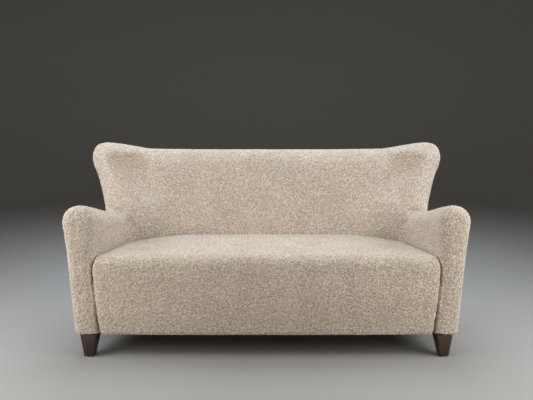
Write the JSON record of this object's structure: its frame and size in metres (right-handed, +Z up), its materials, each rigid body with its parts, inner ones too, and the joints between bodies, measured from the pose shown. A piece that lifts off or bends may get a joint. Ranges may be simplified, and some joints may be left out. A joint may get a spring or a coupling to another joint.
{
  "type": "upholstered settee",
  "caption": "Two-seat settee in looped pile cloth with flared low arms, a raked back ending in wings, a tight seat and tapered wooden legs.",
  "frame": {"origin": "on the floor, under the middle of the settee's outer box", "axes": "+X along the seat to the sitter's left, -Y towards the front, +Z up"},
  "size_m": [1.848, 0.86, 0.9386],
  "materials": {
    "boucle": "ivory looped pile, matt",
    "foam": "open-cell upholstery foam",
    "frame_wood": "sawn beech, unfinished",
    "webbing": "woven elastic webbing",
    "deck_cloth": "coarse woven cloth",
    "dust_cloth": "black non-woven cloth",
    "leg_wood": "dark stained walnut, satin lacquer",
    "zinc": "zinc plated",
    "glide": "black nylon"
  },
  "bodies": {
    "root": {"seat_cover": "boucle", "back_cover": "boucle", "outside_back": "boucle", "arm_cover_R": "boucle", "outside_arm_R": "boucle", "arm_cover_L": "boucle", "outside_arm_L": "boucle", "seat_foam": "foam", "back_foam": "foam", "arm_foam_R": "foam", "arm_foam_L": "foam", "front_rail": "frame_wood", "rear_rail": "frame_wood", "center_stretcher": "frame_wood", "back_top_rail": "frame_wood", "back_lower_rail": "frame_wood", "side_rail_R": "frame_wood", "arm_rail_R": "frame_wood", "wing_stile_R": "frame_wood", "arm_post_front_R": "frame_wood", "corner_block_front_R": "frame_wood", "arm_post_rear_R": "frame_wood", "corner_block_rear_R": "frame_wood", "side_rail_L": "frame_wood", "arm_rail_L": "frame_wood", "wing_stile_L": "frame_wood", "arm_post_front_L": "frame_wood", "corner_block_front_L": "frame_wood", "arm_post_rear_L": "frame_wood", "corner_block_rear_L": "frame_wood", "back_upright_1": "frame_wood", "back_upright_2": "frame_wood", "back_upright_3": "frame_wood", "back_upright_4": "frame_wood", "seat_strap_1": "webbing", "seat_strap_2": "webbing", "seat_strap_3": "webbing", "seat_strap_4": "webbing", "seat_strap_5": "webbing", "seat_strap_6": "webbing", "seat_strap_7": "webbing", "seat_strap_8": "webbing", "deck_cloth": "deck_cloth", "dust_cover": "dust_cloth", "leg_front_R": "leg_wood", "leg_glide_front_R": "glide", "leg_plate_front_R": "zinc", "leg_bolt_front_R": "zinc", "leg_front_L": "leg_wood", "leg_glide_front_L": "glide", "leg_plate_front_L": "zinc", "leg_bolt_front_L": "zinc", "leg_rear_R": "leg_wood", "leg_glide_rear_R": "glide", "leg_plate_rear_R": "zinc", "leg_bolt_rear_R": "zinc", "leg_rear_L": "leg_wood", "leg_glide_rear_L": "glide", "leg_plate_rear_L": "zinc", "leg_bolt_rear_L": "zinc"}
  },
  "joints": []
}
